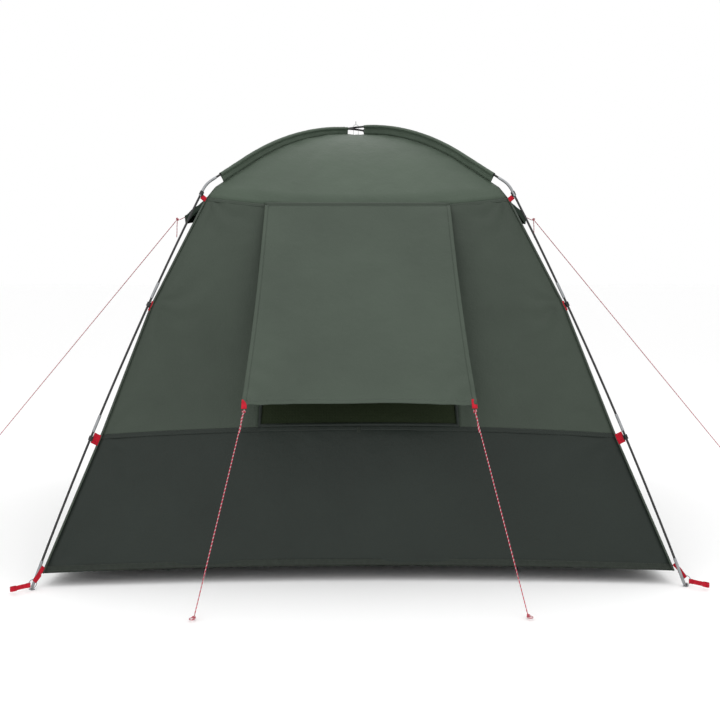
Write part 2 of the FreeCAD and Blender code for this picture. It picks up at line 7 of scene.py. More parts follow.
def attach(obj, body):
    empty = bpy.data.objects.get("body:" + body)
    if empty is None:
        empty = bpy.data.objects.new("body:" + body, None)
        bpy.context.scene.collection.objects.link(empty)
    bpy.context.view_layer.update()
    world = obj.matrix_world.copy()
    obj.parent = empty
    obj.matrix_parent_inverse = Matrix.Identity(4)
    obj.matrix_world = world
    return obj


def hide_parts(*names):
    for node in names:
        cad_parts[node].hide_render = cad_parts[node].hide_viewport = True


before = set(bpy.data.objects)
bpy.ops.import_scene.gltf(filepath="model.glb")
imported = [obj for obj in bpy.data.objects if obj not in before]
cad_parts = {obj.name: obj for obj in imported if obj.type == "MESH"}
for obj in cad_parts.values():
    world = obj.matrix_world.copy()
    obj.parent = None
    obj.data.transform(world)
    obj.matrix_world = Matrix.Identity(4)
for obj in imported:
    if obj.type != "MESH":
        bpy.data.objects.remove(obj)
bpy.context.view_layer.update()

# ---------------------------------------------------------------- sizes, in metres, as in the CAD model

EAVE = (0.768, 1.813, 0.040, 1.763)
UPPER = (1.016, 1.272, 0.092, 1.260)
MIDDLE = (1.229, 0.660, 0.072, 0.690)
HEM = (1.458, 0.062, 0.070, 0.073)
ROWS = [EAVE, UPPER, MIDDLE, HEM]
LAST = len(ROWS) - 1
CORNER_GAP = 0.003
CROWN = 2.250
ROOF_SLOPE = math.radians(29)
CORNER = (1.090, 1.882)
RIDGE_DROP = 0.040
HINGE = Vector((0, -0.765, 1.775))
AWNING_LEAN = math.radians(33.9)
AWNING_TOP = 0.472
AWNING_LOW = 0.545
AWNING_LEN = 1.138
SIDES = {"front": 0, "right": 90, "back": 180, "left": 270}
CORNERS = {"front_left": 225, "front_right": 315, "back_right": 45, "back_left": 135}
WINDOW = (0.480, 0.705, 0.415, 1.690)
VENT = (0.330, 1.500, 0.290, 1.700)
DOOR = (0.452, 0.080, 0.452, 1.603)
ROOT2 = math.sqrt(2)


# ---------------------------------------------------------------- materials

def new_material(name, color, rough, metal=0.0):
    mat = bpy.data.materials.new(name)
    mat.use_nodes = True
    shader = mat.node_tree.nodes["Principled BSDF"]
    shader.inputs["Base Color"].default_value = (*color, 1)
    shader.inputs["Roughness"].default_value = rough
    shader.inputs["Metallic"].default_value = metal
    return mat, mat.node_tree, shader


def add(tree, kind, **values):
    node = tree.nodes.new(kind)
    for key, value in values.items():
        if key in node.inputs:
            node.inputs[key].default_value = value
        else:
            setattr(node, key, value)
    return node


def mottled(tree, shader, color, spread, scale):
    """Broad, soft variation of a colour; gives back the node of the texture coordinates."""
    where = add(tree, "ShaderNodeTexCoord")
    cloud = add(tree, "ShaderNodeTexNoise", Scale=scale, Detail=5.0, Roughness=0.55)
    tree.links.new(where.outputs["Object"], cloud.inputs["Vector"])
    ramp = add(tree, "ShaderNodeValToRGB")
    ramp.color_ramp.elements[0].position = 0.3
    ramp.color_ramp.elements[1].position = 0.7
    ramp.color_ramp.elements[0].color = (*[c * (1 - spread) for c in color], 1)
    ramp.color_ramp.elements[1].color = (*[c * (1 + spread) for c in color], 1)
    tree.links.new(cloud.outputs["Fac"], ramp.inputs["Fac"])
    tree.links.new(ramp.outputs["Color"], shader.inputs["Base Color"])
    return where


def woven(name, color, rough=0.5, thread=0.0011, sheen=0.05, gloss=0.25, strength=0.25, rip=0.008):
    """Coated cloth: two crossing thread waves, a ripstop grid, creases and mottled colour.

    UVs are in metres. thread is the width of a thread and rip the spacing of the ripstop grid.
    """
    mat, tree, shader = new_material(name, color, rough)
    where = mottled(tree, shader, color, 0.10, 2.2)
    shader.inputs["Sheen Weight"].default_value = sheen
    shader.inputs["Sheen Roughness"].default_value = 0.4
    shader.inputs["Specular IOR Level"].default_value = gloss
    waves = []
    for direction in ("X", "Y"):
        wave = add(tree, "ShaderNodeTexWave", Scale=1 / thread / 20, Distortion=0.4)
        wave.bands_direction = direction
        tree.links.new(where.outputs["UV"], wave.inputs["Vector"])
        waves.append(wave)
    weave = add(tree, "ShaderNodeMath", operation="MULTIPLY")
    tree.links.new(waves[0].outputs["Fac"], weave.inputs[0])
    tree.links.new(waves[1].outputs["Fac"], weave.inputs[1])
    grid = add(tree, "ShaderNodeTexBrick", Scale=1 / rip / 4)
    grid.inputs["Mortar Size"].default_value = 0.03
    grid.offset = 0
    tree.links.new(where.outputs["UV"], grid.inputs["Vector"])
    crease = add(tree, "ShaderNodeTexNoise", Scale=9.0, Detail=8.0, Roughness=0.62)
    tree.links.new(where.outputs["Object"], crease.inputs["Vector"])
    first = add(tree, "ShaderNodeBump", Strength=strength, Distance=0.0004)
    tree.links.new(weave.outputs[0], first.inputs["Height"])
    second = add(tree, "ShaderNodeBump", Strength=0.12, Distance=0.0006)
    tree.links.new(grid.outputs["Fac"], second.inputs["Height"])
    tree.links.new(first.outputs["Normal"], second.inputs["Normal"])
    third = add(tree, "ShaderNodeBump", Strength=0.5, Distance=0.012)
    tree.links.new(crease.outputs["Fac"], third.inputs["Height"])
    tree.links.new(second.outputs["Normal"], third.inputs["Normal"])
    tree.links.new(third.outputs["Normal"], shader.inputs["Normal"])
    return mat


def webbing_material(name, color):
    """Flat webbing: cross ribs and a herringbone of finer threads."""
    mat, tree, shader = new_material(name, color, 0.6)
    where = mottled(tree, shader, color, 0.18, 60)
    shader.inputs["Sheen Weight"].default_value = 0.04
    shader.inputs["Specular IOR Level"].default_value = 0.2
    ribs = add(tree, "ShaderNodeTexWave", Scale=45.0, Distortion=0.6)
    ribs.bands_direction = "Y"
    fine = add(tree, "ShaderNodeTexWave", Scale=90.0, Distortion=0.3)
    fine.bands_direction = "DIAGONAL"
    for wave in (ribs, fine):
        tree.links.new(where.outputs["UV"], wave.inputs["Vector"])
    low = add(tree, "ShaderNodeBump", Strength=0.5, Distance=0.0008)
    tree.links.new(ribs.outputs["Fac"], low.inputs["Height"])
    top = add(tree, "ShaderNodeBump", Strength=0.3, Distance=0.0004)
    tree.links.new(fine.outputs["Fac"], top.inputs["Height"])
    tree.links.new(low.outputs["Normal"], top.inputs["Normal"])
    tree.links.new(top.outputs["Normal"], shader.inputs["Normal"])
    return mat


def worn(name, color, rough, metal, scale, coat=0.0, bump=0.1):
    """Hard surface with fine scratches in its roughness."""
    mat, tree, shader = new_material(name, color, rough, metal)
    where = mottled(tree, shader, color, 0.12, scale)
    shader.inputs["Coat Weight"].default_value = coat
    shader.inputs["Coat Roughness"].default_value = 0.15
    scratch = add(tree, "ShaderNodeTexNoise", Scale=scale * 12, Detail=6.0)
    tree.links.new(where.outputs["Object"], scratch.inputs["Vector"])
    spreader = add(tree, "ShaderNodeMapRange")
    spreader.inputs["To Min"].default_value = rough * 0.75
    spreader.inputs["To Max"].default_value = min(rough * 1.3, 1)
    tree.links.new(scratch.outputs["Fac"], spreader.inputs["Value"])
    tree.links.new(spreader.outputs["Result"], shader.inputs["Roughness"])
    dent = add(tree, "ShaderNodeBump", Strength=bump, Distance=0.0005)
    tree.links.new(scratch.outputs["Fac"], dent.inputs["Height"])
    tree.links.new(dent.outputs["Normal"], shader.inputs["Normal"])
    return mat


def rope_material():
    """Braided cord: red flecks on off-white, spiralling along the line."""
    mat, tree, shader = new_material("rope_braid", (0.75, 0.7, 0.68), 0.6)
    where = add(tree, "ShaderNodeTexCoord")
    flecks = add(tree, "ShaderNodeTexWave", Scale=1.7, Distortion=0.8)
    flecks.bands_direction = "DIAGONAL"
    ramp = add(tree, "ShaderNodeValToRGB")
    ramp.color_ramp.interpolation = "CONSTANT"
    ramp.color_ramp.elements[0].color = (0.45, 0.004, 0.04, 1)
    ramp.color_ramp.elements[1].color = (0.55, 0.40, 0.40, 1)
    ramp.color_ramp.elements[1].position = 0.7
    scaled = add(tree, "ShaderNodeMapping")
    scaled.inputs["Scale"].default_value = (6.5, 6.5, 1)
    tree.links.new(where.outputs["UV"], scaled.inputs["Vector"])
    tree.links.new(scaled.outputs["Vector"], flecks.inputs["Vector"])
    tree.links.new(flecks.outputs["Fac"], ramp.inputs["Fac"])
    tree.links.new(ramp.outputs["Color"], shader.inputs["Base Color"])
    braid = add(tree, "ShaderNodeTexVoronoi", Scale=600.0)
    tree.links.new(where.outputs["Object"], braid.inputs["Vector"])
    bump = add(tree, "ShaderNodeBump", Strength=0.5, Distance=0.0006)
    tree.links.new(braid.outputs["Distance"], bump.inputs["Height"])
    tree.links.new(bump.outputs["Normal"], shader.inputs["Normal"])
    return mat


ROOF = woven("roof_cloth", (0.060, 0.084, 0.060))
WALL = woven("wall_cloth", (0.041, 0.055, 0.041))
AWNING = woven("awning_cloth", (0.052, 0.070, 0.052))
LOWER = woven("lower_wall_cloth", (0.0145, 0.0205, 0.0165))
# painted shade: the visor cloth is darker than the roof, awning and upper wall cloth, so the shade on its
# underside is painted into its colour
VISOR_PAINTED_SHADE = woven("visor_cloth", (0.026, 0.036, 0.028), sheen=0.0, gloss=0.0)
MESH = woven("window_netting", (0.008, 0.015, 0.0025), rough=0.75, thread=0.0022, rip=0.0035, strength=0.9)
TRIM = webbing_material("dark_binding", (0.022, 0.028, 0.022))
RED = webbing_material("red_webbing", (0.46, 0.003, 0.018))
ROPE = rope_material()
THREAD = worn("sewing_thread", (0.05, 0.062, 0.05), 0.6, 0.0, 300)
FIBRE = worn("black_glass_fibre", (0.006, 0.006, 0.0065), 0.4, 0.0, 18, coat=0.08)
STEEL = worn("grey_steel", (0.30, 0.31, 0.32), 0.38, 0.9, 30)
PLASTIC = worn("black_moulding", (0.012, 0.012, 0.012), 0.42, 0.0, 60, bump=0.25)
ELASTIC = worn("black_elastic", (0.02, 0.02, 0.02), 0.8, 0.0, 200)


# ---------------------------------------------------------------- mesh helpers

def piece(name, verts, faces, material, body="root", uvs=None, thick=0.0):
    """A mesh in the row's frame that rides on a body; thick gives a sheet its two faces."""
    mesh = bpy.data.meshes.new(name)
    mesh.from_pydata([tuple(v) for v in verts], [], faces)
    mesh.update()
    if uvs:
        layer = mesh.uv_layers.new(name="UVMap")
        for loop in mesh.loops:
            layer.data[loop.index].uv = uvs[loop.vertex_index]
    for polygon in mesh.polygons:
        polygon.use_smooth = True
    obj = bpy.data.objects.new(name, mesh)
    bpy.context.scene.collection.objects.link(obj)
    obj.data.materials.append(material)
    if thick:
        solid = obj.modifiers.new("thickness", "SOLIDIFY")
        solid.thickness = thick
        solid.offset = 0
    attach(obj, body)
    return obj


def grid_piece(name, rows, material, body="root", thick=0.001, skip=None):
    """A sheet through rows of (point, uv); skip(i, j) leaves a face out."""
    width = len(rows[0])
    verts = [p for row in rows for p, _ in row]
    uvs = [uv for row in rows for _, uv in row]
    faces = []
    for i in range(len(rows) - 1):
        for j in range(width - 1):
            if skip and skip(i, j):
                continue
            a = i * width + j
            faces.append((a, a + 1, a + width + 1, a + width))
    used = sorted({v for face in faces for v in face})
    index = {v: k for k, v in enumerate(used)}
    faces = [tuple(index[v] for v in face) for face in faces]
    return piece(name, [verts[v] for v in used], faces, material, body, [uvs[v] for v in used], thick)


def spin(point, angle):
    return Matrix.Rotation(math.radians(angle), 3, "Z") @ Vector(point)


def strap(name, centre, across, width, thick, material, body="root", steps=6):
    """Webbing along a centre line, with a flat section that thins towards its edges.

    across is the direction of its width, or a list with one direction for each point.
    """
    centre = [Vector(c) for c in centre]
    verts, faces, uvs = [], [], []
    profile = []
    for k in range(steps + 1):
        share = -1 + 2 * k / steps
        profile.append((share * width / 2, thick / 2 * (1 - 0.5 * abs(share) ** 6)))
    loop = profile + [(a, -b) for a, b in reversed(profile)]
    run = 0.0
    for i, spot in enumerate(centre):
        ahead = centre[min(i + 1, len(centre) - 1)] - centre[max(i - 1, 0)]
        wide = Vector(across[i]) if isinstance(across, list) else Vector(across)
        wide = (wide - ahead.normalized() * wide.dot(ahead.normalized())).normalized()
        up = ahead.normalized().cross(wide)
        if i:
            run += (spot - centre[i - 1]).length
        for a, b in loop:
            verts.append(spot + wide * a + up * b)
            uvs.append((a, run))
    count = len(loop)
    for i in range(len(centre) - 1):
        for k in range(count):
            n = (k + 1) % count
            faces.append((i * count + k, i * count + n, (i + 1) * count + n, (i + 1) * count + k))
    faces.append(tuple(reversed(range(count))))
    faces.append(tuple(range((len(centre) - 1) * count, len(centre) * count)))
    return piece(name, verts, faces, material, body, uvs)


STITCH = 0.0045
STITCH_GAP = 0.0028
THREAD_RADIUS = 0.0005


def stitches(name, lines, body="root", lift=0.0012):
    """Rows of short raised thread stitches; each line is a list of (point, outward normal)."""
    verts, faces = [], []
    for line in lines:
        carried = 0.0
        for (p, n), (q, _) in zip(line, line[1:]):
            p, q, n = Vector(p), Vector(q), Vector(n)
            span = (q - p).length
            if span < 1e-6:
                continue
            way = (q - p) / span
            side = way.cross(n).normalized()
            spot = carried
            while spot + STITCH < span:
                start = p + way * spot + n * lift
                end = start + way * STITCH
                base = len(verts)
                for point, grow in ((start, 0.4), ((start + end) / 2 + n * THREAD_RADIUS, 1.0), (end, 0.4)):
                    for a, b in ((1, 0), (0, 1), (-1, 0), (0, -1)):
                        verts.append(point + side * a * THREAD_RADIUS * grow + n * b * THREAD_RADIUS * grow)
                for ring in range(2):
                    for k in range(4):
                        m = (k + 1) % 4
                        faces.append((base + ring * 4 + k, base + ring * 4 + m,
                                      base + ring * 4 + 4 + m, base + ring * 4 + 4 + k))
                faces.append((base + 3, base + 2, base + 1, base))
                faces.append((base + 8, base + 9, base + 10, base + 11))
                spot += STITCH + STITCH_GAP
            carried = max(spot - span, 0)
    return piece(name, verts, faces, THREAD, body)


# ---------------------------------------------------------------- the tower's surface

def row_at(v):
    i = min(int(v), LAST - 1)
    return [a + (b - a) * (v - i) for a, b in zip(ROWS[i], ROWS[i + 1])]


def v_of(z):
    """Row number where the middle of a wall is at height z."""
    for i, (one, two) in enumerate(zip(ROWS, ROWS[1:])):
        if z >= two[3]:
            return i + (one[3] - z) / (one[3] - two[3])
    return LAST


PULLED_ROWS = (1.0, 2.0, 0.0, 3.0)          # rows whose corners are pulled by a clip or a foot
OUT = Vector((0, -0.932, 0.363))            # mean outward direction of the front wall
PULL_FOLD = 0.011                           # height of the folds at a pulled corner
PULL_REACH = 0.16                           # distance in which they fade
EDGE_COLUMNS = 34                           # columns of a wall on each side of its opening
HOLE_COLUMNS = 40                           # columns of a wall over its opening
LEVEL_STEP = 0.028                          # longest step between its levels, in row numbers


def slack(seed, x, z, u):
    """How far the cloth stands off its smooth surface.

    Broad slack, and folds that fan out of each pulled corner.
    """
    height = 0.009 * noise.noise(Vector((x * 1.9, z * 1.5, seed)))
    height += 0.0045 * noise.noise(Vector((x * 6.1 + z * 2.0, z * 3.1, seed + 7)))
    for corner in (-1, 1):
        for level in PULLED_ROWS:
            half, corner_z, _, _ = row_at(level)
            away_x = corner * half - x
            away_z = corner_z - z
            far = math.hypot(away_x, away_z) + 0.03
            turn = math.atan2(away_z, corner * away_x)
            fade = math.exp(-far / PULL_REACH) * min(far / 0.10, 1)
            waver = 2.5 * noise.noise(Vector((far * 9, level, seed)))
            height += PULL_FOLD * fade * math.sin(turn * 9 + seed + level * 1.7 + waver)
    edge = min(1, (1 - abs(u)) / 0.05)
    return height * edge


def wall_point(side, u, v, lift=0.0, crumple=1.0):
    """A point of a wall: u runs from -1 to 1 across it and v counts the rows down from the eave."""
    half, corner_z, inset, middle_z = row_at(v)
    bulge = 1 - u * u
    x = u * (half - CORNER_GAP)
    y = -half + inset * bulge
    z = corner_z + (middle_z - corner_z) * bulge
    seed = SIDES[side] / 37
    seam = min([abs(v - level) for level in (0.0, 2.0, 3.0)])
    quiet = min(1, seam / 0.06)
    off = lift + crumple * quiet * slack(seed, x, z, u)
    return spin(Vector((x, y, z)) + OUT * off, SIDES[side])


def linspace(a, b, n):
    return [a + (b - a) * i / (n - 1) for i in range(n)]


def columns(v, hole):
    """Positions across a wall, with a set number each side of a hole's edges and over the hole."""
    half, corner_z, _, middle_z = row_at(v)
    low_half, low_z, high_half, high_z = hole
    share = max(0, min(1, (middle_z - low_z) / (high_z - low_z)))
    edge = (low_half + (high_half - low_half) * share) / (half - CORNER_GAP)
    left = linspace(-1, -edge, EDGE_COLUMNS)
    over = linspace(-edge, edge, HOLE_COLUMNS)
    right = linspace(edge, 1, EDGE_COLUMNS)
    return left + over[1:] + right[1:]


def wall_grid(side, levels, hole, lift=0.0, crumple=1.0, inside=False):
    """Rows of (point, uv) over a wall, or only over its opening."""
    rows = []
    for v in levels:
        across = columns(v, hole)
        if inside:
            across = across[EDGE_COLUMNS - 1:EDGE_COLUMNS + HOLE_COLUMNS - 1]
        row = []
        for u in across:
            p = wall_point(side, u, v, lift, crumple)
            flat = spin(p, -SIDES[side])
            row.append((p, (flat.x, flat.z * 1.07)))
        rows.append(row)
    return rows


def levels_between(v0, v1, stops):
    """Row numbers from one to another in small steps, with every stop between them among the rows."""
    marks = [v0] + [s for s in stops if v0 < s < v1] + [v1]
    levels = [v0]
    for a, b in zip(marks, marks[1:]):
        count = max(2, int((b - a) / LEVEL_STEP) + 1)
        levels += linspace(a, b, count)[1:]
    return levels


def wall_piece(name, side, v0, v1, hole, holed, material, nodes):
    """The cloth of a wall between two rows; holed leaves its opening out."""
    top, low = v_of(hole[3]), v_of(hole[1])
    levels = levels_between(v0, v1, [top, low])

    def skip(i, j):
        middle = (levels[i] + levels[i + 1]) / 2
        over = EDGE_COLUMNS - 1 <= j < EDGE_COLUMNS + HOLE_COLUMNS - 2
        return holed and over and top < middle < low

    obj = grid_piece(name, wall_grid(side, levels, hole), material, skip=skip)
    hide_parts(*nodes)


def inset_piece(name, side, hole, lift, material, node, body="root", grow=0.0, crumple=1.0):
    """A sheet over a hole in a wall."""
    low_half, low_z, high_half, high_z = hole
    wider = (low_half + grow, low_z - grow, high_half + grow, high_z + grow)
    levels = levels_between(v_of(wider[3]), v_of(wider[1]), [])
    rows = wall_grid(side, levels, wider, lift, crumple, inside=True)
    obj = grid_piece(name, rows, material, body)
    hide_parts(node)


for side, hole in {"front": WINDOW, "right": VENT, "left": VENT}.items():
    upper, lower = side + "_wall_upper", side + "_wall_lower"
    wall_piece(upper + "_cloth", side, 0, 2, hole, True, WALL, [upper])
    wall_piece(lower + "_cloth", side, 2, 3, hole, False, LOWER, [lower])
    if side != "front":
        inset_piece(side + "_vent_netting", side, VENT, -0.003, MESH, side + "_vent_mesh", grow=0.008)
wall_piece("back_wall_cloth", "back", 0, 3, (0.456, 0.0, 0.456, 1.607), True, WALL,
           ["back_wall_left", "back_wall_right", "back_wall_header"])
inset_piece("window_netting_panel", "front", WINDOW, -0.003, MESH, "window_mesh", grow=0.008)
inset_piece("door_cloth", "back", DOOR, 0.0, WALL, "door_panel", body="door", crumple=0.6)


# ---------------------------------------------------------------- seams, bindings and stitching

def seam_line(side, v, lift):
    """(point, outward direction) along a row of stitching across a wall."""
    outward = spin(OUT, SIDES[side])
    return [(wall_point(side, u, v, lift, 0), outward) for u in linspace(-0.995, 0.995, 120)]


def band(name, side, v0, v1, material=TRIM):
    """A flat strip of cloth across a wall."""
    rows = []
    for v in linspace(v0, v1, 5):
        row = []
        for u in linspace(-1, 1, 120):
            p = wall_point(side, u, v, 0.0016, 0)
            flat = spin(p, -SIDES[side])
            row.append((p, (flat.x, flat.z)))
        rows.append(row)
    return grid_piece(name, rows, material, thick=0.0012)


for side in SIDES:
    if side != "back":
        band("mid_seam_" + side, side, 1.985, 2.02, LOWER)
        hem = band("hem_tape_" + side, side, 2.95, 2.999)
        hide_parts("hem_tape")
    band("eave_seam_" + side, side, 0.0, 0.03, WALL)
    lines = [seam_line(side, 0.012, 0.002), seam_line(side, 0.022, 0.002)]
    if side != "back":
        lines += [seam_line(side, v, 0.002) for v in (1.991, 2.008, 2.955, 2.985)]
    stitches("stitching_" + side, lines)


def frame_band(name, side, hole, width, material=TRIM):
    """Binding round an opening, with mitred corners."""
    low_half, low_z, high_half, high_z = hole
    corners = [(-low_half, low_z), (low_half, low_z), (high_half, high_z), (-high_half, high_z)]
    spread = [(-1, -1), (1, -1), (1, 1), (-1, 1)]
    rows = [[], [], []]
    for k in range(4):
        (x0, z0), (x1, z1) = corners[k], corners[(k + 1) % 4]
        (a0, b0), (a1, b1) = spread[k], spread[(k + 1) % 4]
        for step in linspace(0, 1, 26)[:-1]:
            for r, push in enumerate((-width / 2, 0, width / 2)):
                x = x0 + (x1 - x0) * step + push * (a0 + (a1 - a0) * step)
                z = z0 + (z1 - z0) * step + push * (b0 + (b1 - b0) * step)
                v = v_of(z)
                u = x / (row_at(v)[0] - CORNER_GAP)
                rise = 0.0022 + (0.0008 if r == 1 else 0)
                rows[r].append((wall_point(side, u, v, rise, 0.9), (push, x + z)))
    for row in rows:
        row.append(row[0])
    grid_piece(name, rows, material, thick=0.0016)


frame_band("window_binding", "front", WINDOW, 0.014, LOWER)
for side in ("right", "left"):
    frame_band("vent_binding_" + side, side, VENT, 0.018)


def corner_line(angle):
    points = []
    for v in linspace(0, LAST, 60):
        half, corner_z, _, _ = row_at(v)
        points.append(spin((half * ROOT2, 0, corner_z), angle))
    return points


for corner, angle in CORNERS.items():
    across = spin((0, 1, 0), angle)
    edge = strap("corner_seam_" + corner, corner_line(angle), across, 0.014, 0.005, WALL, steps=8)
    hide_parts("corner_seams")


# ---------------------------------------------------------------- roof and pole sleeves

EAVE_REACH = EAVE[0] * ROOT2
SHOULDER = 1.03          # reach beyond which the cloth leaves the pole line and runs straight to the eave
SLEEVE_START = 0.068
SLEEVE_END = 0.995


def roof_arc(crown):
    """Centre height, radius and reach of the round part of a pole line."""
    slope, half = math.tan(ROOF_SLOPE), math.tan(ROOF_SLOPE / 2)
    end = (CORNER[0] * slope - (crown - CORNER[1])) / (slope - half)
    radius = end / math.sin(ROOF_SLOPE)
    return crown - radius, radius, end


def line_height(reach, crown, drop):
    """Height of the pole line, less a drop across it, at a reach along the diagonal."""
    low, radius, end = roof_arc(crown)
    if reach <= end:
        return low + math.sqrt((radius - drop) ** 2 - reach ** 2)
    return CORNER[1] + (CORNER[0] - reach) * math.tan(ROOF_SLOPE) - drop / math.cos(ROOF_SLOPE)


def roof_point(side, u, reach, seed):
    half = reach / ROOT2
    share = (reach / EAVE_REACH) ** 2
    if reach < SHOULDER:
        height = line_height(reach, CROWN, RIDGE_DROP)
    else:
        top = line_height(SHOULDER, CROWN, RIDGE_DROP)
        height = top + (EAVE[1] - top) * (reach - SHOULDER) / (EAVE_REACH - SHOULDER)
    bulge = 1 - u * u
    x = u * max(half - CORNER_GAP, 0.001)
    y = -half + EAVE[2] * share * bulge
    z = height - share * (EAVE[1] - EAVE[3]) * bulge
    fold = 0.006 * noise.noise(Vector((x * 3.1, y * 2.4, seed)))
    fold += 0.0035 * noise.noise(Vector((u * 7, reach * 3, seed + 3)))
    fold += 0.004 * math.exp(-(1 - abs(u)) / 0.12) * math.sin(reach * 38 + seed * 5)
    edge = min(1, (1 - abs(u)) / 0.04) * min(1, (EAVE_REACH - reach) / 0.05)
    return spin(Vector((x, y, z + fold * edge)), SIDES[side])


for side, angle in SIDES.items():
    rows = []
    for reach in linspace(0.009, EAVE_REACH, 56):
        row = []
        for u in linspace(-1, 1, 80):
            p = roof_point(side, u, reach, angle / 29 + 1)
            flat = spin(p, -angle)
            row.append((p, (flat.x, flat.y)))
        rows.append(row)
    cloth = grid_piece("roof_cloth_" + side, rows, ROOF)
    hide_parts("roof_panel_" + side)


def sleeve(corner, angle, crown):
    """Cloth tunnel over the pole with a gathered, sewn fin below it."""
    seed = angle / 31
    rows = []
    around = 20
    for reach in linspace(SLEEVE_START, SLEEVE_END, 150):
        top = Vector((reach, 0, line_height(reach, crown, 0)))
        step = 0.004
        ahead = Vector((reach + step, 0, line_height(reach + step, crown, 0)))
        way = (ahead - top).normalized()
        up = Vector((-way.z, 0, way.x))
        ends = math.exp(-(reach - SLEEVE_START) / 0.035)
        wrinkle = 0.0022 * noise.noise(Vector((reach * 55, seed, 0))) * (0.5 + 1.2 * ends)
        sway = 0.0035 * noise.noise(Vector((reach * 14, seed, 5)))
        fin = (line_height(reach, CROWN, RIDGE_DROP) - top.z) * way.x - 0.002
        row = []
        outline = [(0.0010, fin), (0.0014 + sway, fin * 0.7), (0.002 + sway * 0.6, fin * 0.45)]
        for k in range(around + 1):
            turn = math.radians(-70) + math.radians(320) * k / around
            crease = wrinkle * math.sin(turn * 3 + reach * 80)
            radius = 0.0092 + crease
            outline.append((math.cos(turn) * radius, math.sin(turn) * radius))
        outline += [(-0.002 + sway * 0.6, fin * 0.45), (-0.0014 + sway, fin * 0.7), (-0.0010, fin)]
        run = 0
        for k, (a, b) in enumerate(outline):
            run += math.dist(outline[k - 1], outline[k]) if k else 0
            p = top + up * b + Vector((0, a, 0))
            row.append((spin(p, angle), (run, reach)))
        rows.append(row)
    tunnel = grid_piece("sleeve_cloth_" + corner, rows, ROOF, thick=0.0006)
    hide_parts("pole_sleeve_" + corner)
    out = spin((0, 1, 0), angle)
    for sign, mark in {1: "a", -1: "b"}.items():
        line = []
        for reach in linspace(0.08, 0.98, 90):
            point = (reach, sign * 0.0022, line_height(reach, crown, 0.022))
            line.append((spin(point, angle), out * sign))
        stitches(f"sleeve_stitching_{corner}_{mark}", [line], lift=0.001)


CROWNS = {225: CROWN - 0.006, 45: CROWN - 0.006, 315: CROWN + 0.006, 135: CROWN + 0.006}
for corner, angle in CORNERS.items():
    sleeve(corner, angle, CROWNS[angle])

# the tie runs up both sides of the crossed poles and closes above them
TIE_PATH = [(0.0142, 2.214), (0.0142, 2.262), (0.011, 2.2685), (0.002, 2.270), (0.001, 2.276), (0.001, 2.289)]
for mark, sign in {"a": -1, "b": 1}.items():
    path = [(sign * x, 0, z) for x, z in TIE_PATH]
    tie = strap("crown_tie_tape_" + mark, path, (0, 1, 0), 0.011, 0.0015, TRIM)
    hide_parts("crown_tie")


# ---------------------------------------------------------------- awning

AWNING_TURN = Matrix.Rotation(-AWNING_LEAN, 3, "X")
AWNING_OUT = AWNING_TURN @ Vector((0, -1, 0))
HEM_U = 0.962
HEM_SHARE = 0.982
TAB_X = AWNING_LOW - 0.014          # middle of the tab at each lower corner


def awning_point(u, share, lift=0.0):
    """u runs across, share from the hinge line (0) to the bottom edge (1), which rises in its middle."""
    half = AWNING_TOP + (AWNING_LOW - AWNING_TOP) * share
    x = u * half * (1 - 0.018 * math.sin(math.pi * share))
    drop = AWNING_LEN * share
    sag = -0.016 * math.sin(math.pi * share) * (1 - u * u)
    fold = 0.009 * noise.noise(Vector((x * 3.3, drop * 0.9, 4.2)))
    waver = 1.3 * noise.noise(Vector((drop * 4, u, 2)))
    fold += 0.006 * share * math.exp(-(1 - abs(u)) / 0.10) * math.sin(u * 26 + waver)
    corner = math.hypot((1 - abs(u)) * half, (1 - share) * AWNING_LEN)
    fold += 0.006 * math.exp(-corner / 0.12) * math.sin(corner * 60 + u)
    rise = 0.010 * share ** 6 * (1 - u * u)
    edge = min(1, share / 0.04)
    local = Vector((x, -(sag + fold * edge + lift), -drop + rise))
    return HINGE + AWNING_TURN @ local


rows = []
for share in linspace(0.0, 1.0, 80):
    row = [(awning_point(u, share), (u * AWNING_LOW, share * AWNING_LEN)) for u in linspace(-1, 1, 90)]
    rows.append(row)
awning = grid_piece("awning_cloth", rows, AWNING, "awning", 0.0012)
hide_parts("awning")


def awning_strip(name, inner, outer, along_edge):
    """Folded hem along one edge of the awning."""
    rows = []
    for w in linspace(inner, outer, 5):
        row = []
        for s in linspace(0, 1, 80):
            u, share = along_edge(w, s)
            row.append((awning_point(u, share, 0.0014), (s, w)))
        rows.append(row)
    grid_piece(name, rows, AWNING, "awning", 0.0012)


awning_strip("awning_hem_left", -1, -HEM_U, lambda w, s: (w, s))
awning_strip("awning_hem_right", HEM_U, 1, lambda w, s: (w, s))
awning_strip("awning_hem_low", HEM_SHARE, 1, lambda w, s: (-1 + 2 * s, w))
hem_lines = []
for sign in (-1, 1):
    hem_lines.append([(awning_point(sign * 0.967, s, 0.001), AWNING_OUT) for s in linspace(0.01, 0.98, 100)])
hem_lines.append([(awning_point(u, 0.984, 0.001), AWNING_OUT) for u in linspace(-0.97, 0.97, 100)])
stitches("awning_stitching", hem_lines, "awning")
for side, sign in {"left": -1, "right": 1}.items():
    path = []
    for k in range(7):
        local = Vector((sign * TAB_X, -0.0016 - 0.001 * k, -AWNING_LEN + 0.030 - 0.0085 * k))
        path.append(HINGE + AWNING_TURN @ local)
    tab = strap("awning_tab_" + side, path, (1, 0, 0), 0.025, 0.0024, RED, "awning")
    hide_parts("awning_tabs")

